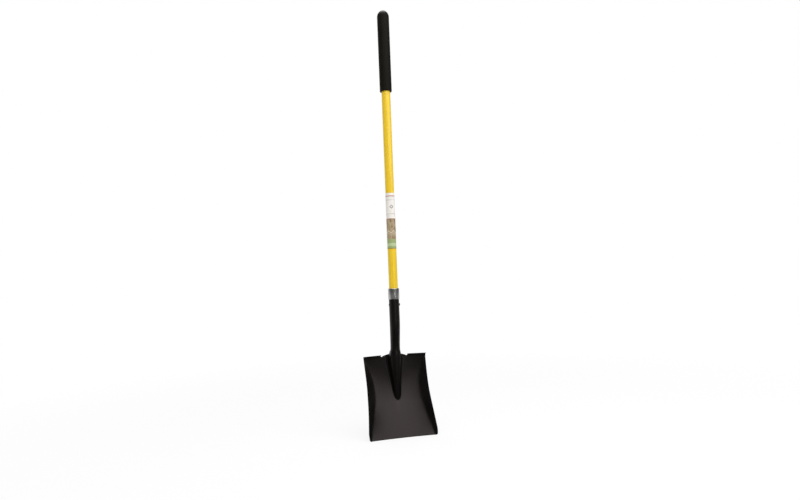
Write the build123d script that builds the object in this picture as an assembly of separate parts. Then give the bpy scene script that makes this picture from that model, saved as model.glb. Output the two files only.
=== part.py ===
from build123d import *
from bisect import bisect_right
from math import asin, atan2, cos, hypot, pi, radians, sin, sqrt, tan
import os

# Square-mouth shovel standing on its cutting edge, in millimetres and degrees.
# Origin: middle of the cutting edge. +Z runs up along the handle, the working face looks to -Y.

# ---- Whole tool ----
overall_length = 1524.0
edge_reach = 61.5           # how far the cutting edge stands forward of the handle's axis

# ---- Blade, a single stamping: outline ----
sheet = 2.2
edge_width = 244.6
waist_width = 221.2
heel_width = 229.0
heel_z = 270.5
waist_z = 170.0
edge_flare = 1.4            # power by which the sides flare from the waist to the edge
edge_corner_radius = 7.0
edge_corner_height = 25.0   # each lower corner is cut back on a slant from this height
edge_corner_cut = 2.5

# ---- Blade: floor ----
floor_lean = 26.5           # lower floor against the handle's axis
heel_lean = 3.0
flat_floor_z = 100.0        # the floor is straight up to here and curves from here to the heel
dish_width = 200.0          # the three dish depths below are measured across this width
edge_dish = 4.0
middle_dish = 18.0
heel_dish = 12.0
middle_dish_z = 130.0

# ---- Blade: side walls ----
wall_rise = 18.5
wall_rise_z = 162.0
edge_wall_rise = 10.0
wall_span = 34.0
wall_span_z = 140.0
edge_wall_span = 12.0
heel_wall_span = 9.0
wall_bend = 9.0             # width of the rolled bend at the foot of each wall

# ---- Blade: rib that carries the socket's strength down into the floor ----
nose_z = 118.0
nose_radius = 13.0
rib_radius = 22.0
rib_widest_z = 262.0
rib_taper = 1.4             # power by which the rib widens from its nose
nose_crease = 3.0
heel_crease = 12.0

# ---- Blade: shoulders, turned steps and socket ----
notch_half = 41.5
step_inner_half = 50.0
relief_radius = 3.6         # round notch that frees each step's inner end for its bend
relief_drop = 2.4
step_turn = 86.0
step_bend_radius = 1.6
step_leaf = 9.4
step_tip_radius = 6.0       # rounding of each step's outer tip
web_top_z = 279.0           # the shoulder webs run out into the socket's sides here
curl_top_z = 306.0          # from here up the socket is closed to its rear seam
neck_z = 300.0
neck_radius = 17.0
neck_set_back = 9.5
bend_top_z = 398.0
socket_top_z = 505.0
seam_gap = 1.2

# ---- Handle and its fittings ----
handle_diameter = 31.75
handle_wall = 3.2
handle_clearance = 0.15     # handle in socket
handle_foot_z = 402.0
core_clearance = 0.1
core_length = 160.0
core_chamfer = 3.0
collar_wall = 1.6
collar_clearance = 0.1
collar_length = 38.0
collar_lap = 31.0           # how much of the collar sits over the socket
collar_chamfer = 0.5
rivet_drop = 20.0           # rivet's axis under the collar's lower edge
rivet_diameter = 6.4
rivet_clearance = 0.1
rivet_head_radius = 5.6
rivet_head_height = 3.2
rivet_tail_radius = 4.4
rivet_tail_height = 1.4
rivet_seat = 0.15

# ---- Grip, end plug and label ----
grip_length = 300.0
grip_diameter = 43.5
grip_dome = 25.0
grip_foot_chamfer = 2.0
grip_clearance = 0.1
grip_end_wall = 18.0
plug_lip = 2.5
plug_depth = 22.0
plug_wall = 2.6
plug_clearance = 0.1
label_foot_z = 654.0
label_length = 199.5
label_film = 0.25
label_clearance = 0.05
label_seam_gap = 1.5

# ---- Sampling of the stamped surface ----
arc_samples = 48
side_samples = 12
crease_samples = 16
wing_samples = 240
rib_steps = 15
notch_steps = 2
wing_steps = 10
floor_row_count = 3
rib_row_count = 12
web_row_count = 4
curl_row_count = 5
neck_row_count = 4
step_row_count = 3

# ---- Sizes that follow from the ones above ----
handle_y = edge_reach
handle_radius = handle_diameter / 2
socket_bore = handle_radius + handle_clearance
socket_radius = socket_bore + sheet
edge_back = sheet / cos(radians(floor_lean)) / 2
collar_top_z = socket_top_z - collar_lap + collar_length
collar_foot_z = socket_top_z - collar_lap
rivet_z = collar_foot_z - rivet_drop
grip_foot_z = overall_length - grip_length
handle_top_z = overall_length - grip_end_wall - plug_lip
core_radius = handle_radius - handle_wall - core_clearance


def clamp(u):
    return min(max(u, 0.0), 1.0)


def ease(u):
    """Smooth step from 0 to 1 with level ends."""
    u = clamp(u)
    return u * u * (3 - 2 * u)


def mix(a, b, u):
    return a + (b - a) * u


# ---- Shape laws of the stamping, each a function of the height z ----
def floor_slope(z):
    low, high = tan(radians(floor_lean)), tan(radians(heel_lean))
    return mix(low, high, clamp((z - flat_floor_z) / (heel_z - flat_floor_z)))


def floor_y(z):
    """Working face of the floor on the centre line: a straight run, then an arc, then straight."""
    low, high = floor_slope(0), floor_slope(heel_z)
    curved = clamp((z - flat_floor_z) / (heel_z - flat_floor_z)) * (heel_z - flat_floor_z)
    bent = (low - high) * curved ** 2 / (heel_z - flat_floor_z) / 2
    over = max(z - heel_z, 0)
    return low * (z - over) - bent + high * over - edge_back


def half_width(z):
    if z < waist_z:
        return mix(waist_width, edge_width, (1 - z / waist_z) ** edge_flare) / 2
    return mix(waist_width, heel_width, ((z - waist_z) / (heel_z - waist_z)) ** 2) / 2


def dish(z):
    """Drop of the dished floor per square millimetre from the centre line."""
    if z < middle_dish_z:
        depth = mix(edge_dish, middle_dish, ease(z / middle_dish_z))
    elif z < heel_z:
        depth = mix(middle_dish, heel_dish, ease((z - middle_dish_z) / (heel_z - middle_dish_z)))
    else:
        depth = heel_dish * (1 - ease((z - heel_z) / (web_top_z - heel_z)))
    return depth / (dish_width / 2) ** 2


def wall_run(z):
    """Width and rise of the curled side wall."""
    if z < wall_span_z:
        span = mix(edge_wall_span, wall_span, ease(z / wall_span_z))
    else:
        span = mix(heel_wall_span, wall_span, cos(pi / 2 * clamp((z - wall_span_z) / (heel_z - wall_span_z))))
    if z < wall_rise_z:
        rise = mix(edge_wall_rise, wall_rise, sin(pi / 2 * z / wall_rise_z))
    else:
        rise = wall_rise * cos(pi / 2 * clamp((z - wall_rise_z) / (heel_z - wall_rise_z)))
    return span, rise


def tube_radius(z):
    """Outer radius of the rib's crown and, higher up, of the neck and the socket."""
    if z < rib_widest_z:
        return mix(nose_radius, rib_radius, ease(clamp((z - nose_z) / (rib_widest_z - nose_z)) ** rib_taper))
    if z < neck_z:
        return mix(rib_radius, neck_radius, ease((z - rib_widest_z) / (neck_z - rib_widest_z)))
    return mix(neck_radius, socket_radius, ease((z - neck_z) / (bend_top_z - neck_z)))


def tube_y(z):
    """Axis of the crown: straight over the rib, then the neck's bend up to the handle's axis."""
    if z < web_top_z:
        neck_front = handle_y + neck_set_back - tube_radius(web_top_z)
        crown = mix(floor_y(nose_z), neck_front, (z - nose_z) / (web_top_z - nose_z))
        return crown + tube_radius(z)
    return handle_y + neck_set_back * (1 - ease((z - web_top_z) / (bend_top_z - web_top_z)))


def crease_radius(z):
    return mix(nose_crease, heel_crease, clamp((z - nose_z) / (heel_z - nose_z)))


# ---- One cross-section of the sheet's working face, from the crown outwards ----
def crown_arc(z, end_angle):
    r, cy = tube_radius(z), tube_y(z)
    angles = [end_angle * i / arc_samples for i in range(arc_samples + 1)]
    return [(r * sin(a), cy - r * cos(a)) for a in angles]


def rib_face(z):
    """Crown, straight side and crease of the rib, and how much of it is crown and side."""
    r, cy, crease = tube_radius(z), tube_y(z), crease_radius(z)
    depth = floor_y(z) - (cy - r)
    if depth <= 0:
        return [(0.0, floor_y(z))], 1
    drop = floor_y(z) - crease - cy
    crease_x = r + crease if drop >= 0 else sqrt((r + crease) ** 2 - drop ** 2)
    turn = pi / 2 if drop >= 0 else atan2(crease_x, -drop)
    points = crown_arc(z, turn)
    if drop > 0:
        points += [(r, cy + drop * i / side_samples) for i in range(1, side_samples + 1)]
    side_end = len(points)
    for i in range(1, crease_samples + 1):
        a = turn * (1 - i / crease_samples)
        points.append((crease_x - crease * sin(a), floor_y(z) - crease + crease * cos(a)))
    return points, side_end


def curled_face(z):
    """Crown and sides of the socket, the sides curling in until they meet at the rear seam."""
    r, cy = tube_radius(z), tube_y(z)
    curl = ease((z - web_top_z) / (curl_top_z - web_top_z))
    open_side = floor_y(web_top_z) - crease_radius(web_top_z) - tube_y(web_top_z)
    closed_side = (pi / 2 - seam_gap / 2 / r) * r
    side = mix(open_side, closed_side, curl)
    bend = curl / r
    points = crown_arc(z, pi / 2)
    for i in range(1, arc_samples + 1):
        s = side * i / arc_samples
        if bend * side < 1e-6:
            points.append((r, cy + s))
        else:
            points.append((r - (1 - cos(bend * s)) / bend, cy + sin(bend * s) / bend))
    return points


def wing_face(z, start_x):
    """Floor from the rib's crease outwards, then the side wall up to the rim."""
    rim = half_width(min(z, heel_z))
    span, rise = wall_run(z)
    foot = rim - span
    bend = min(wall_bend, span)
    slope = 2 * dish(z) * foot
    steepening = max(rise - slope * span, 0) / (span - bend / 2)
    points = []
    for i in range(1, wing_samples + 1):
        x = mix(start_x, rim, i / wing_samples)
        flat, out = min(x, foot), max(x - foot, 0)
        bent = out ** 2 / bend / 2 if out < bend else out - bend / 2
        points.append((x, floor_y(z) - dish(z) * flat ** 2 - slope * out - steepening * bent))
    return points


def sheet_face(z):
    if z > web_top_z:
        return curled_face(z)
    rib = rib_face(z)[0]
    dished = [(x, y - dish(z) * x ** 2) for x, y in rib]
    return dished + wing_face(z, rib[-1][0])


# ---- Points of a cross-section: working face and back face, matched one to one ----
class Trace:
    """A line of close points that can be read at any distance along it."""

    def __init__(self, points):
        self.points = points
        self.reach = [0.0]
        for a, b in zip(points, points[1:]):
            self.reach.append(self.reach[-1] + hypot(b[0] - a[0], b[1] - a[1]))
        self.length = self.reach[-1]

    def at(self, s):
        s = min(max(s, 0.0), self.length)
        i = min(bisect_right(self.reach, s), len(self.points) - 1)
        a, b = self.points[i - 1], self.points[i]
        u = (s - self.reach[i - 1]) / (self.reach[i] - self.reach[i - 1])
        return mix(a[0], b[0], u), mix(a[1], b[1], u)

    def reach_of_x(self, x):
        i = next(i for i, p in enumerate(self.points) if p[0] >= x)
        a, b = self.points[i - 1], self.points[i]
        return mix(self.reach[i - 1], self.reach[i], (x - a[0]) / (b[0] - a[0]))

    def back(self, s, thickness, probe=0.4):
        """The point one sheet thickness behind the face."""
        if s < probe:
            return 0.0, self.at(0)[1] + thickness
        a, b = self.at(s - probe), self.at(s + probe)
        run = hypot(b[0] - a[0], b[1] - a[1])
        x, y = self.at(s)
        return x - (b[1] - a[1]) / run * thickness, y + (b[0] - a[0]) / run * thickness


def mirrored(points, z):
    """Both halves of a cross-section as 3-D points, from the left rim to the right one."""
    return [(-x, y, z) for x, y in reversed(points[1:])] + [(x, y, z) for x, y in points]


def faces_at(z):
    trace = Trace(sheet_face(z))
    thickness = sheet * sqrt(1 + floor_slope(z) ** 2) if z <= heel_z else sheet
    if z > heel_z:
        side_end = trace.length if z > web_top_z else trace.reach[rib_face(z)[1] - 1]
        web_end = side_end if z > web_top_z else trace.reach_of_x(notch_half)
        runout = clamp((z - heel_z) / (web_top_z - heel_z))
        stops = [mix(web_end, side_end, runout) * i / rib_steps for i in range(rib_steps + 1)]
    else:
        marks = [0, trace.reach_of_x(notch_half), trace.reach_of_x(step_inner_half), trace.length]
        stops = [0.0]
        for a, b, n in zip(marks, marks[1:], (rib_steps, notch_steps, wing_steps)):
            stops += [mix(a, b, i / n) for i in range(1, n + 1)]
    front = mirrored([trace.at(s) for s in stops], z)
    back = mirrored([trace.back(s, thickness) for s in stops], z)
    return front, back


def curve(points):
    last = len(points) - 1
    return Edge.make_spline(points, parameters=[i / last for i in range(last + 1)])


def ring(front, back):
    """Closed outline of the sheet between two matched curves."""
    right = Edge.make_line(front @ 1, back @ 1)
    left = Edge.make_line(back @ 0, front @ 0)
    return Wire([front, right, back, left])


def floor_rows():
    top = nose_z - nose_crease
    return [top * i / floor_row_count for i in range(floor_row_count + 1)]


def rib_rows():
    """Rows that stand closer together at the rib's nose and at the heel."""
    turns = [pi * i / rib_row_count for i in range(rib_row_count + 1)]
    return [nose_z - nose_crease] + [mix(nose_z, heel_z, (1 - cos(t)) / 2) for t in turns]


def even_rows(low, high, count):
    return [mix(low, high, i / count) for i in range(count + 1)]


def heel_curves():
    front, back = faces_at(heel_z)
    return curve(front), curve(back), front, back


def section(z):
    front, back = faces_at(z)
    return ring(curve(front), curve(back))


def sheet_loft(rows):
    """The sheet between the lowest and the highest of the given heights."""
    return Solid.make_loft([section(z) for z in rows])


def make_webs():
    """From the heel, between the steps, up to where the shoulders run out into the socket's sides."""
    front_curve, back_curve, front, back = heel_curves()
    a, b = wing_steps + notch_steps, len(front) - 1 - wing_steps - notch_steps
    heel = ring(front_curve.trim(Vector(*front[a]), Vector(*front[b])),
                back_curve.trim(Vector(*back[a]), Vector(*back[b])))
    return Solid.make_loft([heel] + [section(z) for z in even_rows(heel_z, web_top_z, web_row_count)[1:]])


def turned_step(side):
    """One step: the heel's curve carried round a bend and out along a leaf."""
    front_curve, back_curve, front, back = heel_curves()
    last = len(front) - 1
    a, b = (0, wing_steps) if side < 0 else (last - wing_steps, last)
    turns = [radians(step_turn) * i / step_row_count for i in range(step_row_count + 1)]
    leaf = Location((0, -step_leaf * sin(turns[-1]), step_leaf * cos(turns[-1])))

    def carried(edge, radius):
        bent = [edge.moved(Location((0, -radius * (1 - cos(t)), radius * sin(t)))) for t in turns]
        return bent + [bent[-1].moved(leaf)]

    def skin(rows):
        return [Shell.make_loft([Wire([e]) for e in rows[:-1]]).faces()[0],
                Face.make_surface_from_curves(rows[-2], rows[-1])]

    inner = carried(front_curve.trim(Vector(*front[a]), Vector(*front[b])), step_bend_radius)
    outer = carried(back_curve.trim(Vector(*back[a]), Vector(*back[b])), step_bend_radius + sheet)
    inner_skin, outer_skin = skin(inner), skin(outer)
    skins = inner_skin + outer_skin
    skins.append(Face(ring(inner[0], outer[0])))
    skins.append(Face.make_surface_from_curves(inner[-1], outer[-1]))
    for near, far in zip(inner_skin, outer_skin):
        for end in (0, -1):
            rails = [face.edges().sort_by(Axis.X)[end] for face in (near, far)]
            skins.append(Face.make_surface_from_curves(*rails))
    return Solid(Shell(skins))


# ---- Blade ----
def edge_corner_cutter(side):
    """What the slanted, rounded cut takes off one lower corner, seen from the front."""
    slant_top = half_width(edge_corner_height) + sheet
    slant_foot = half_width(0) - edge_corner_cut
    margin = 4 * sheet
    with BuildSketch(Plane.XZ) as waste:
        with BuildLine():
            Polyline((0, 0), (slant_foot, 0), (slant_top, edge_corner_height), (0, edge_corner_height),
                     close=True)
        make_face()
        fillet(waste.vertices().sort_by(Axis.Y)[:2].sort_by(Axis.X)[-1], edge_corner_radius)
    kept = extrude(waste.sketch, 4 * edge_reach, both=True)
    block = Box(slant_top, 4 * edge_reach, edge_corner_height + margin,
                align=(Align.MIN, Align.CENTER, Align.MAX))
    cutter = Pos(slant_foot - 2 * edge_corner_radius, 0, edge_corner_height) * block - kept
    return cutter if side > 0 else mirror(cutter, Plane.YZ)


def relief_cutter(side):
    """Round notch between a step's inner end and the shoulder."""
    centre = side * (notch_half + step_inner_half) / 2
    place = Pos(centre, floor_y(heel_z), heel_z - relief_drop + relief_radius)
    return place * Rot(90, 0, 0) * Cylinder(relief_radius, 8 * heel_crease)


def step_tip_cutter(side):
    """What the rounding takes off the outer tip of a turned step, seen from above."""
    front = faces_at(heel_z)[0]
    turn = radians(step_turn)
    tip_y = front[-1][1] - step_bend_radius * (1 - cos(turn)) - step_leaf * sin(turn)
    centre = Pos(side * (heel_width / 2 - step_tip_radius), tip_y + step_tip_radius, heel_z)
    reach = 2 * step_tip_radius
    block = Box(reach, reach, reach, align=(Align.MIN if side > 0 else Align.MAX, Align.MAX, Align.CENTER))
    return centre * (block - Cylinder(step_tip_radius, reach))


def rivet_bore(radius):
    return Pos(0, handle_y, rivet_z) * Rot(0, 90, 0) * Cylinder(radius, 4 * socket_radius)


def make_blade():
    stamping = extrude(Face(section(bend_top_z)), socket_top_z - bend_top_z)
    bend = sheet_loft(even_rows(curl_top_z, bend_top_z, neck_row_count))
    curl = sheet_loft(even_rows(web_top_z, curl_top_z, curl_row_count))
    rib, floor = sheet_loft(rib_rows()), sheet_loft(floor_rows())
    for run in (bend, curl, make_webs(), rib, floor, turned_step(-1), turned_step(1)):
        stamping = stamping.fuse(run)
    for side in (-1, 1):
        for cutter in (edge_corner_cutter(side), relief_cutter(side), step_tip_cutter(side)):
            stamping = stamping - cutter
    return stamping - rivet_bore(rivet_diameter / 2 + rivet_clearance)


# ---- Pieces turned about the handle's axis ----
def make_collar():
    bore = socket_radius + collar_clearance
    outer = bore + collar_wall
    lip = handle_radius + handle_clearance
    with BuildSketch(Plane.XZ) as band:
        with BuildLine():
            Polyline((bore, collar_foot_z), (outer, collar_foot_z), (outer, collar_top_z - collar_wall),
                     (outer - collar_wall, collar_top_z), (lip, collar_top_z),
                     (lip, collar_top_z - collar_wall), (bore, collar_top_z - collar_wall),
                     close=True)
        make_face()
        low_corner = band.vertices().sort_by(Axis.Y)[:2].sort_by(Axis.X)[-1]
        chamfer(low_corner, collar_chamfer)
    return Pos(0, handle_y, 0) * revolve(band.sketch, Axis.Z)


def make_handle_tube():
    length = handle_top_z - handle_foot_z
    with BuildPart(Plane.XY.offset(handle_foot_z)) as tube:
        Cylinder(handle_radius, length, align=(Align.CENTER, Align.CENTER, Align.MIN))
        Cylinder(handle_radius - handle_wall, length, align=(Align.CENTER, Align.CENTER, Align.MIN),
                 mode=Mode.SUBTRACT)
    return Pos(0, handle_y, 0) * tube.part - rivet_bore(rivet_diameter / 2 + rivet_clearance)


def make_core():
    with BuildPart(Plane.XY.offset(handle_foot_z)) as core:
        Cylinder(core_radius, core_length, align=(Align.CENTER, Align.CENTER, Align.MIN))
        chamfer(core.edges().sort_by(Axis.Z)[-1], core_chamfer)
    return Pos(0, handle_y, 0) * core.part - rivet_bore(rivet_diameter / 2 + rivet_clearance)


def cap_arc(x, side, base, height):
    """Spherical cap of a rivet end: from its rim at x to its crown on the axis."""
    ball = (base ** 2 + height ** 2) / 2 / height
    centre = x + side * (height - ball)
    half_angle = asin(base / ball) / 2
    middle = (centre + side * ball * cos(half_angle), ball * sin(half_angle))
    return ThreePointArc((x, base), middle, (x + side * height, 0))


def make_rivet():
    """Shank, domed head on the right and a low peened tail on the left."""
    shank = rivet_diameter / 2
    seat = socket_radius + rivet_seat
    with BuildSketch() as half:
        with BuildLine():
            cap_arc(seat, 1, rivet_head_radius, rivet_head_height)
            Polyline((seat, rivet_head_radius), (seat, shank), (-seat, shank), (-seat, rivet_tail_radius))
            cap_arc(-seat, -1, rivet_tail_radius, rivet_tail_height)
            Line((-seat - rivet_tail_height, 0), (seat + rivet_head_height, 0))
        make_face()
    return Pos(0, handle_y, rivet_z) * revolve(half.sketch, Axis.X)


def make_grip():
    """Cushion sleeve, closed at the top by a tall dome."""
    radius = grip_diameter / 2
    bore = handle_radius + grip_clearance
    dome_z = overall_length - grip_dome
    cavity_z = overall_length - grip_end_wall
    with BuildSketch(Plane.XZ) as half:
        with BuildLine():
            Polyline((0, overall_length), (0, cavity_z), (bore, cavity_z), (bore, grip_foot_z),
                     (radius - grip_foot_chamfer, grip_foot_z), (radius, grip_foot_z + grip_foot_chamfer),
                     (radius, dome_z))
            Spline((radius, dome_z), (radius * cos(pi / 4), dome_z + grip_dome * sin(pi / 4)),
                   (0, overall_length), tangents=((0, 1), (-1, 0)))
        make_face()
    return Pos(0, handle_y, 0) * revolve(half.sketch, Axis.Z)


def make_end_plug():
    body = handle_radius - handle_wall - plug_clearance
    with BuildSketch(Plane.XZ) as half:
        with BuildLine():
            Polyline((0, handle_top_z + plug_lip), (0, handle_top_z), (body - plug_wall, handle_top_z),
                     (body - plug_wall, handle_top_z - plug_depth), (body, handle_top_z - plug_depth),
                     (body, handle_top_z), (handle_radius, handle_top_z),
                     (handle_radius, handle_top_z + plug_lip), close=True)
        make_face()
    return Pos(0, handle_y, 0) * revolve(half.sketch, Axis.Z)


def make_label():
    inner = handle_radius + label_clearance
    seam = label_seam_gap / inner * 180 / pi
    with BuildSketch(Plane.XZ) as film:
        with Locations((inner, label_foot_z)):
            Rectangle(label_film, label_length, align=(Align.MIN, Align.MIN))
    sleeve = revolve(film.sketch, Axis.Z, 360 - seam)
    facing = Rot(0, 0, 90 + seam / 2)
    return Pos(0, handle_y, 0) * facing * sleeve


PIECES = {
    "blade": make_blade,
    "socket_collar": make_collar,
    "socket_rivet": make_rivet,
    "handle_tube": make_handle_tube,
    "handle_core": make_core,
    "handle_end_plug": make_end_plug,
    "handle_grip": make_grip,
    "handle_label": make_label,
}

os.makedirs("parts", exist_ok=True)
for name, make in PIECES.items():
    export_step(make(), f"parts/{name}.step")
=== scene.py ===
from math import cos, pi, radians, sin

import bmesh
import bpy
from mathutils import Matrix, Vector


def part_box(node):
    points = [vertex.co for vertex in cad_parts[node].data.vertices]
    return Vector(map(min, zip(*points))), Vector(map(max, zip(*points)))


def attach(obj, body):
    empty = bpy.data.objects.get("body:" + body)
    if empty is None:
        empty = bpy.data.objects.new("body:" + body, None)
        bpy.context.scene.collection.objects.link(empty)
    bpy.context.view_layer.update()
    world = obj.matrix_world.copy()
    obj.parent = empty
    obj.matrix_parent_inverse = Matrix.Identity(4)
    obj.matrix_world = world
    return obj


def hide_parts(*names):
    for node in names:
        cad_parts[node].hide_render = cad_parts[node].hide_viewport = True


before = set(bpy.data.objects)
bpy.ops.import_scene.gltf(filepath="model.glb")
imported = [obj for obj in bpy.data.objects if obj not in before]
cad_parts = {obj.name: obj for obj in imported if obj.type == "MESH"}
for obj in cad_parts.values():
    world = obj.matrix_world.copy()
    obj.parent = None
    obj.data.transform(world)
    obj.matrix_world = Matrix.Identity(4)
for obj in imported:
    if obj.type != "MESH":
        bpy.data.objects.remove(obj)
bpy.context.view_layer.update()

# Square-mouth shovel on its cutting edge, in metres. The pieces turned about the handle take their
# heights and radii from the solids that they dress.
MM = 0.001
handle_y = 61.5 * MM
handle_axis = Vector((0, handle_y, 0))
turned_steps = 128


# ---- Shader building ----
class Signal:
    """One shader socket that can be added, multiplied and compared like a number."""

    def __init__(self, finish, socket):
        self.finish = finish
        self.socket = socket

    def maths(self, operation, first, second):
        return self.finish.node("Math", {"operation": operation}, {0: first, 1: second})

    def __add__(self, other):
        return self.maths("ADD", self, other)

    def __radd__(self, other):
        return self.maths("ADD", other, self)

    def __sub__(self, other):
        return self.maths("SUBTRACT", self, other)

    def __rsub__(self, other):
        return self.maths("SUBTRACT", other, self)

    def __mul__(self, other):
        return self.maths("MULTIPLY", self, other)

    def __lt__(self, other):
        return self.maths("LESS_THAN", self, other)

    def __gt__(self, other):
        return self.maths("GREATER_THAN", self, other)

    def __abs__(self):
        return self.finish.node("Math", {"operation": "ABSOLUTE"}, {0: self})

    def root(self):
        return self.finish.node("Math", {"operation": "SQRT"}, {0: self})

    def between(self, low, high):
        """1 from low to high, else 0."""
        return (self > low) * (self < high)


class Finish:
    """A node tree for a material, or for the room's light."""

    def __init__(self, owner):
        owner.use_nodes = True
        self.tree = owner.node_tree
        self.tree.nodes.clear()
        self.owner = owner

    def node(self, kind, settings=None, sockets=None, output=0):
        """Adds a shader node: its settings first, then the values or links of its sockets."""
        made = self.tree.nodes.new("ShaderNode" + kind)
        for name, value in (settings or {}).items():
            if name == "stops":
                self.set_stops(made.color_ramp, value)
            else:
                setattr(made, name, value)
        for name, value in (sockets or {}).items():
            if isinstance(value, Signal):
                self.tree.links.new(value.socket, made.inputs[name])
            else:
                made.inputs[name].default_value = value
        return Signal(self, made.outputs[output]) if made.outputs else None

    def set_stops(self, ramp, stops):
        while len(ramp.elements) < len(stops):
            ramp.elements.new(1)
        for element, (place, colour) in zip(ramp.elements, stops):
            element.position = place
            element.color = colour

    def place(self, scale=(1, 1, 1), centre=(0, 0, 0)):
        """Object coordinates about a centre, stretched by scale."""
        coordinates = self.node("TexCoord", output="Object")
        shifted = self.node("VectorMath", {"operation": "SUBTRACT"}, {0: coordinates, 1: centre})
        return self.node("VectorMath", {"operation": "MULTIPLY"}, {0: shifted, 1: scale})

    def part(self, vector, axis):
        return self.node("SeparateXYZ", sockets={0: vector}, output="XYZ".index(axis))

    def noise(self, vector, scale, detail=2.0, roughness=0.5):
        return self.node("TexNoise", sockets={"Vector": vector, "Scale": scale, "Detail": detail,
                                              "Roughness": roughness})

    def blend(self, mask, low, high):
        return self.node("Mix", {"data_type": "RGBA"}, {0: mask, 6: low, 7: high}, output=2)

    def ramp(self, value, low, high, to_low=0.0, to_high=1.0):
        return self.node("MapRange", {"interpolation_type": "SMOOTHSTEP"},
                         {"Value": value, "From Min": low, "From Max": high,
                          "To Min": to_low, "To Max": to_high})

    def wave(self, phase):
        return self.node("Math", {"operation": "SINE"}, {0: phase})

    def bump(self, height, depth, normal=None):
        sockets = {"Height": height, "Strength": 1.0, "Distance": depth}
        if normal is not None:
            sockets["Normal"] = normal
        return self.node("Bump", sockets=sockets)

    def surface(self, **sockets):
        """Closes the material with a Principled surface; underscores stand for spaces."""
        named = {name.replace("_", " "): value for name, value in sockets.items()}
        shader = self.node("BsdfPrincipled", sockets=named)
        self.node("OutputMaterial", sockets={"Surface": shader})
        return self.owner


def new_finish(name):
    return Finish(bpy.data.materials.new(name))


def grey(value):
    return (value, value, value, 1)


# ---- Finishes ----
def black_blade_enamel():
    """Dipped black enamel on pressed steel: satin, faintly warm, with slow sags and faint smears."""
    finish = new_finish("satin_black_enamel")
    place = finish.place()
    orange_peel = finish.noise(place, 700, 3)
    sag = finish.noise(place, 38, 2)
    cloud = finish.noise(place, 14, 3, 0.6)
    smear = finish.noise(finish.place((260, 260, 18)), 1, 3)
    tone = finish.blend(cloud, (0.0009, 0.0006, 0.0005, 1), (0.0017, 0.0011, 0.0009, 1))
    skin = finish.bump(orange_peel, 0.03 * MM)
    skin = finish.bump(sag, 0.08 * MM, skin)
    dullness = finish.ramp(cloud, 0.2, 0.8, 0.31, 0.36) + finish.ramp(smear, 0.5, 0.75, 0, 0.05)
    return finish.surface(Base_Color=tone, Roughness=dullness, Specular_Tint=(1.0, 0.87, 0.84, 1),
                          Normal=skin)


def black_rivet_enamel():
    finish = new_finish("rivet_black_enamel")
    place = finish.place()
    cloud = finish.noise(place, 220, 2)
    tone = finish.blend(cloud, (0.008, 0.008, 0.008, 1), (0.017, 0.015, 0.015, 1))
    return finish.surface(Base_Color=tone, Roughness=0.42, Normal=finish.bump(cloud, 0.08 * MM))


def zinc_collar():
    """Bright zinc over a drawn steel ring: fine rings from turning and a soft mottle."""
    finish = new_finish("bright_zinc")
    rings = finish.noise(finish.place((8, 8, 2600)), 1, 2)
    mottle = finish.noise(finish.place(), 110, 2)
    tone = finish.blend(mottle, (0.56, 0.56, 0.55, 1), (0.66, 0.66, 0.64, 1))
    skin = finish.bump(rings, 0.002 * MM)
    return finish.surface(Base_Color=tone, Metallic=1.0,
                          Roughness=finish.ramp(mottle, 0.25, 0.75, 0.27, 0.31), Normal=skin)


def yellow_fibreglass():
    """Pultruded rod: rovings run the whole length under a clear yellow resin skin."""
    finish = new_finish("yellow_fibreglass")
    rovings = finish.noise(finish.place((620, 620, 3.0), handle_axis), 1, 3, 0.6)
    bundles = finish.noise(finish.place((150, 150, 1.2), handle_axis), 1, 2)
    cloud = finish.noise(finish.place(), 9, 2)
    deep, clear = (0.70, 0.45, 0.010, 1), (0.78, 0.55, 0.018, 1)
    amber, pale = (0.66, 0.40, 0.008, 1), (0.80, 0.58, 0.03, 1)
    resin = finish.blend(finish.ramp(rovings, 0.35, 0.68), deep, clear)
    resin = finish.blend(finish.ramp(bundles, 0.52, 0.78, 0, 0.35), resin, amber)
    resin = finish.blend(finish.ramp(cloud, 0.4, 0.8, 0, 0.25), resin, pale)
    skin = finish.bump(rovings, 0.02 * MM)
    return finish.surface(Base_Color=resin, Roughness=finish.ramp(rovings, 0.3, 0.7, 0.26, 0.36),
                          Coat_Weight=0.35, Coat_Roughness=0.12, Normal=skin)


def core_wood():
    """Softwood dowel: growth rings about an off-centre pith, drawn out along the grain."""
    finish = new_finish("dowel_softwood")
    place = finish.place((1, 1, 0.06), (0.004, handle_y + 0.006, 0))
    warp = finish.noise(place, 90, 3)
    x, y = finish.part(place, "X"), finish.part(place, "Y")
    rings = finish.wave((x * x + y * y).root() * 4200 + warp * 5)
    tone = finish.blend(finish.ramp(rings, -0.9, 1), (0.62, 0.40, 0.20, 1), (0.36, 0.19, 0.08, 1))
    return finish.surface(Base_Color=tone, Roughness=0.7, Normal=finish.bump(rings, 0.06 * MM))


def plug_plastic():
    finish = new_finish("black_plug_plastic")
    grain = finish.noise(finish.place(), 1500, 2)
    tone = finish.blend(grain, grey(0.010), grey(0.022))
    return finish.surface(Base_Color=tone, Roughness=0.5, Normal=finish.bump(grain, 0.02 * MM))


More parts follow.
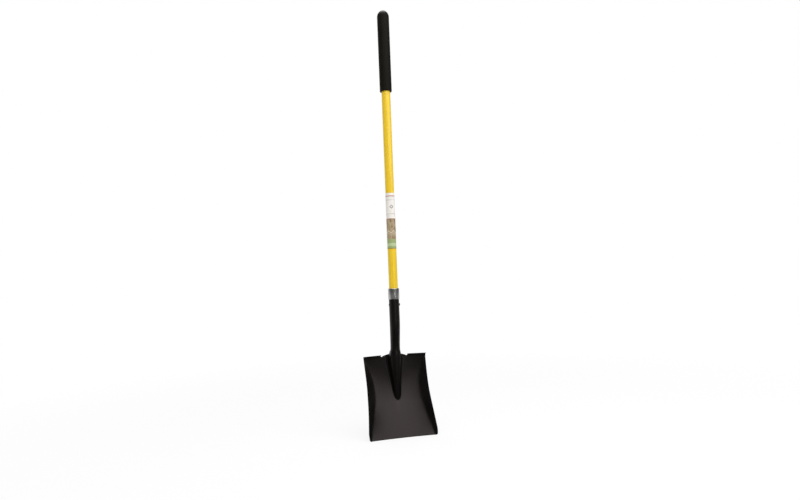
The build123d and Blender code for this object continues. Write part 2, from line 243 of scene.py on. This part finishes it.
def grip_rubber():
    """Moulded cushion rubber: a fine leathery grain with painted shade in its grooves, slightly dusty,
    rubbed smoother at its domed end.
    """
    finish = new_finish("cushion_rubber")
    place = finish.place()
    pebble = finish.node("TexVoronoi", {"feature": "SMOOTH_F1"},
                         {"Vector": place, "Scale": 750, "Smoothness": 0.5})
    pores = finish.noise(place, 2400, 2)
    dust = finish.noise(place, 30, 4, 0.6)
    black, dusty = (0.0058, 0.0053, 0.0036, 1), (0.0088, 0.0080, 0.0055, 1)
    # Painted shade: the grain's grooves are darkened in colour where shade would fall.
    groove_shade = (0.0034, 0.0031, 0.0022, 1)
    tone = finish.blend(finish.ramp(dust, 0.3, 0.8), black, dusty)
    tone = finish.blend(finish.ramp(pebble, 0.25, 0.7, 0, 0.6), tone, groove_shade)
    top = heights("handle_grip")[1]
    rubbed = finish.ramp(finish.part(place, "Z"), top - 16 * MM, top - 9 * MM)
    skin = finish.bump((1 - pebble) * (1 - rubbed * 0.8), 0.22 * MM)
    skin = finish.bump(pores, 0.03 * MM, skin)
    return finish.surface(Base_Color=tone, Roughness=finish.ramp(dust, 0.25, 0.8, 0.52, 0.62),
                          Specular_IOR_Level=0.12, Specular_Tint=(1.0, 0.95, 0.86, 1),
                          Coat_Weight=rubbed, Coat_Roughness=0.22, Normal=skin)


def label_print():
    """Printed sleeve: a white field over a kraft field over a green one, with plain motifs."""
    finish = new_finish("printed_sleeve")
    place = finish.place((1, 1, 1), (0, handle_y, heights("handle_label")[0]))
    x, y, rise = (finish.part(place, axis) for axis in "XYZ")
    turn = finish.node("Math", {"operation": "ARCTAN2"}, {0: x, 1: 0 - y})
    around = turn * radius_of("handle_label")
    green_top, kraft_top, diamond_rise = 34 * MM, 108 * MM, 150 * MM
    white, kraft, straw = (0.74, 0.71, 0.66, 1), (0.31, 0.225, 0.125, 1), (0.46, 0.36, 0.23, 1)
    green, pale, cream = (0.29, 0.36, 0.15, 1), (0.58, 0.67, 0.41, 1), (0.62, 0.54, 0.40, 1)
    brown, dark, umber = (0.40, 0.15, 0.09, 1), (0.07, 0.07, 0.075, 1), (0.13, 0.085, 0.045, 1)

    fibre = finish.noise(finish.place((420, 420, 60)), 1, 4, 0.65)
    blotch = finish.noise(finish.place((90, 90, 70)), 1, 3)
    kraft_tone = finish.blend(finish.ramp(fibre, 0.42, 0.7), kraft, straw)
    kraft_tone = finish.blend(finish.ramp(blotch, 0.5, 0.66, 0, 0.75), kraft_tone, umber)
    hills = 58 * MM + finish.wave(around * 330) * (4 * MM)
    for low, high in ((0, 3.5 * MM), (-7 * MM, -5.5 * MM)):
        kraft_tone = finish.blend(rise.between(hills + low, hills + high), kraft_tone, cream)

    colour = finish.blend(rise < kraft_top, white, kraft_tone)
    colour = finish.blend(rise < green_top, colour, green)
    dashes = finish.wave((around + rise) * 900) > 0
    colour = finish.blend(rise.between(9 * MM, 20 * MM) * dashes, colour, pale)
    diamond = abs(around) + abs(rise - diamond_rise)
    colour = finish.blend(diamond.between(4.5 * MM, 7 * MM), colour, dark)
    for low, high, tint in ((0, 1.5, umber), (106, 108, brown), (124, 124.8, dark),
                            (174, 174.8, dark), (187, 190, brown)):
        colour = finish.blend(rise.between(low * MM, high * MM), colour, tint)
    back_seam = abs(turn) > 3.11
    colour = finish.blend(back_seam * 0.5, colour, umber)

    skin = finish.bump(finish.noise(finish.place(), 120, 2), 0.05 * MM)
    skin = finish.bump(fibre, 0.01 * MM, skin)
    return finish.surface(Base_Color=colour, Roughness=finish.ramp(fibre, 0.3, 0.7, 0.34, 0.42),
                          Coat_Weight=0.2, Coat_Roughness=0.2, Normal=skin)


# ---- Mesh building ----
def outline(bm, points, close=True):
    """A wire through (radius, height) points in the plane in front of the handle's axis."""
    corners = [bm.verts.new((radius, handle_y, height)) for radius, height in points]
    for first, second in zip(corners, corners[1:]):
        bm.edges.new((first, second))
    if close:
        bm.edges.new((corners[-1], corners[0]))
    return corners


def round_corners(bm, corners, radius, segments=5):
    bmesh.ops.bevel(bm, geom=corners, offset=radius, offset_type="OFFSET", segments=segments,
                    profile=0.5, affect="VERTICES", material=-1)


def spin_about_handle(bm):
    bmesh.ops.spin(bm, geom=bm.verts[:] + bm.edges[:], axis=(0, 0, 1), cent=handle_axis,
                   angle=2 * pi, steps=turned_steps, use_merge=True)
    bmesh.ops.remove_doubles(bm, verts=bm.verts, dist=1e-7)
    bmesh.ops.recalc_face_normals(bm, faces=bm.faces)


def finished(bm, name, node, material, crease=35):
    """Turns a bmesh into a piece of the tool that stands for a solid."""
    for face in bm.faces:
        face.smooth = True
    for edge in bm.edges:
        edge.smooth = edge.calc_face_angle(0) < radians(crease)
    mesh = bpy.data.meshes.new(name)
    bm.to_mesh(mesh)
    bm.free()
    piece = bpy.data.objects.new(name, mesh)
    bpy.context.scene.collection.objects.link(piece)
    mesh.materials.append(material)
    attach(piece, "root")
    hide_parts(node)
    return piece


def heights(node):
    low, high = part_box(node)
    return low.z, high.z


def radius_of(node):
    low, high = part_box(node)
    return (high.x - low.x) / 2


def merged_copy(node):
    """The solid's own triangles joined into one skin."""
    bm = bmesh.new()
    bm.from_mesh(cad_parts[node].data)
    bmesh.ops.remove_doubles(bm, verts=bm.verts, dist=2e-6)
    return bm


# ---- The tool's pieces ----
def make_blade():
    return finished(merged_copy("blade"), "blade_stamping", "blade",
                    black_blade_enamel(), crease=40)


def make_rivet():
    return finished(merged_copy("socket_rivet"), "rivet", "socket_rivet",
                    black_rivet_enamel(), crease=40)


def make_collar():
    """Drawn ring over the socket's mouth, with a turned-in top and eased edges."""
    low, high = heights("socket_collar")
    outer = radius_of("socket_collar")
    wall = 1.6 * MM
    lip = radius_of("handle_tube") + 0.15 * MM
    bm = bmesh.new()
    corners = outline(bm, [(outer - wall, low), (outer, low), (outer, high), (lip, high),
                           (lip, high - wall), (outer - wall, high - wall)])
    round_corners(bm, corners[2:3], 1.4 * MM)
    round_corners(bm, [corners[0], corners[1], corners[3]], 0.45 * MM, 3)
    spin_about_handle(bm)
    return finished(bm, "collar", "socket_collar", zinc_collar())


def make_handle_tube():
    """Hollow rod with its rivet hole left to the solid it dresses."""
    return finished(merged_copy("handle_tube"), "handle_rod", "handle_tube",
                    yellow_fibreglass(), crease=40)


def make_grip():
    """Cushion sleeve: tall dome, straight sides and a soft rolled foot."""
    low, high = heights("handle_grip")
    radius = radius_of("handle_grip")
    bore = radius_of("handle_tube") + 0.1 * MM
    dome = 25 * MM
    cavity = high - 18 * MM
    bm = bmesh.new()
    crown = [bm.verts.new((radius, handle_y, high - dome))]
    bmesh.ops.spin(bm, geom=crown, axis=(0, -1, 0), cent=(0, handle_y, high - dome),
                   angle=pi / 2, steps=24)
    bmesh.ops.scale(bm, vec=(1, 1, dome / radius), verts=bm.verts,
                    space=Matrix.Translation((0, 0, dome - high)))
    max(bm.verts, key=lambda vert: vert.co.z).co.z = high    # free of the scaling's rounding
    rim = min(bm.verts, key=lambda vert: vert.co.z)
    corners = outline(bm, [(radius, low), (bore, low), (bore, cavity), (0, cavity)], close=False)
    bm.edges.new((rim, corners[0]))
    round_corners(bm, corners[:1], 2.2 * MM, 8)
    round_corners(bm, [v for v in bm.verts if v.co.z < low + 0.1 * MM and v.co.x < bore + 0.1 * MM],
                  0.8 * MM, 4)
    spin_about_handle(bm)
    return finished(bm, "cushion_grip", "handle_grip", grip_rubber(), crease=50)


def make_end_plug():
    return finished(merged_copy("handle_end_plug"), "end_plug", "handle_end_plug",
                    plug_plastic())


def make_core():
    return finished(merged_copy("handle_core"), "core_dowel", "handle_core", core_wood())


def make_label():
    return finished(merged_copy("handle_label"), "label_sleeve", "handle_label",
                    label_print())


# ---- Floor, light and camera ----
def stage_material():
    """Pale floor with a soft shadow. In glossy rays the floor in front of the tool is painted dark, a
    painted dark reflection for the tool's gloss.
    """
    finish = new_finish("pale_floor")
    seen = finish.node("LightPath", output="Is Camera Ray")
    glossy = finish.node("LightPath", output="Is Glossy Ray")
    place = finish.place()
    away = finish.node("VectorMath", {"operation": "LENGTH"}, {0: place}, output="Value")
    in_front = finish.ramp(finish.part(place, "Y"), -0.2, 0.3, 1, 0)
    # Painted dark reflection: glossy rays see the floor in front of the tool darkened, darkest near the
    # tool.
    painted_dark_reflection = finish.ramp(away, 0.5, 2.8, 0.02, 0.28)
    tone = finish.blend(glossy * in_front, grey(0.85), painted_dark_reflection)
    diffuse = finish.node("BsdfDiffuse", sockets={"Color": tone})
    glow = finish.node("Emission", sockets={"Color": grey(1.0), "Strength": 1.0})
    share = seen * finish.ramp(away, 0.5, 2.5, 0.80, 1.0)
    mixed = finish.node("MixShader", sockets={0: share, 1: diffuse, 2: glow})
    finish.node("OutputMaterial", sockets={"Surface": mixed})
    return finish.owner


def make_floor():
    bm = bmesh.new()
    bmesh.ops.create_grid(bm, x_segments=2, y_segments=2, size=12)
    mesh = bpy.data.meshes.new("floor")
    bm.to_mesh(mesh)
    bm.free()
    mesh.materials.append(stage_material())
    floor = bpy.data.objects.new("floor", mesh)
    bpy.context.scene.collection.objects.link(floor)


def light_the_room():
    """White beyond the tool for the camera, and a dim room with a bright back in its gloss."""
    world = bpy.data.worlds.new("studio")
    bpy.context.scene.world = world
    room = Finish(world)
    towards = room.node("TexCoord", output="Generated")
    back = room.ramp(room.part(towards, "Y"), 0.25, 0.85)
    above = room.ramp(room.part(towards, "Z"), 0.1, 0.9)
    seen = room.node("LightPath", output="Is Camera Ray")
    glossy = room.node("LightPath", output="Is Glossy Ray")
    soft = 0.71 + above * 0.12
    overhead = room.ramp(room.part(towards, "Z"), 0.8, 0.95)
    shine = 0.03 + back * 0.75 + overhead * 2.0
    strength = soft * (1 - seen) * (1 - glossy) + shine * glossy + seen
    shade = room.node("Background", sockets={"Color": grey(1.0), "Strength": strength})
    room.node("OutputWorld", sockets={"Surface": shade})


def softbox(name, aim, azimuth, rise, wide, tall, watts):
    """A soft lamp round to the right of the tool's front by azimuth, and above its aim by rise."""
    away = 2.4
    across, up = radians(azimuth), radians(rise)
    towards = Vector((sin(across) * cos(up), -cos(across) * cos(up), sin(up)))
    lamp = bpy.data.lights.new(name, "AREA")
    lamp.shape = "RECTANGLE"
    lamp.size = wide
    lamp.size_y = tall
    lamp.energy = watts
    box = bpy.data.objects.new(name, lamp)
    box.location = aim + towards * away
    box.rotation_euler = towards.to_track_quat("Z", "Y").to_euler()
    bpy.context.scene.collection.objects.link(box)


def set_camera():
    """Stands a little left of the tool's front and is rolled, so that the handle leans."""
    turn, rise, roll = 0.2577, 0.0442, -0.0396
    stand = Vector((-0.5169, -2.0120, 0.5539))
    lens = bpy.data.cameras.new("camera")
    lens.sensor_width = 36
    lens.lens = 26.85
    forward = Vector((sin(turn) * cos(rise), cos(turn) * cos(rise), sin(rise)))
    pose = forward.to_track_quat("-Z", "Y").to_matrix().to_4x4() @ Matrix.Rotation(roll, 4, "Z")
    camera = bpy.data.objects.new("camera", lens)
    camera.matrix_world = Matrix.Translation(stand) @ pose
    bpy.context.scene.collection.objects.link(camera)
    bpy.context.scene.camera = camera


for make in (make_blade, make_rivet, make_collar, make_handle_tube, make_grip, make_end_plug,
             make_core, make_label):
    make()

make_floor()
light_the_room()
blade_middle = Vector((0, 0, 0.12))
socket_middle, handle_upper = (handle_axis + Vector((0, 0, height)) for height in (0.3, 1.4))
softbox("key_softbox", blade_middle, azimuth=25, rise=54, wide=2.8, tall=2.5, watts=33)
softbox("low_strip", socket_middle, azimuth=13, rise=0, wide=0.3, tall=0.7, watts=1.2)
softbox("left_softbox", handle_upper, azimuth=-50, rise=60, wide=1.2, tall=1.2, watts=8)
softbox("high_strip", handle_upper, azimuth=48, rise=0, wide=0.34, tall=1.0, watts=1.5)
set_camera()

bpy.context.scene.view_settings.view_transform = "Standard"
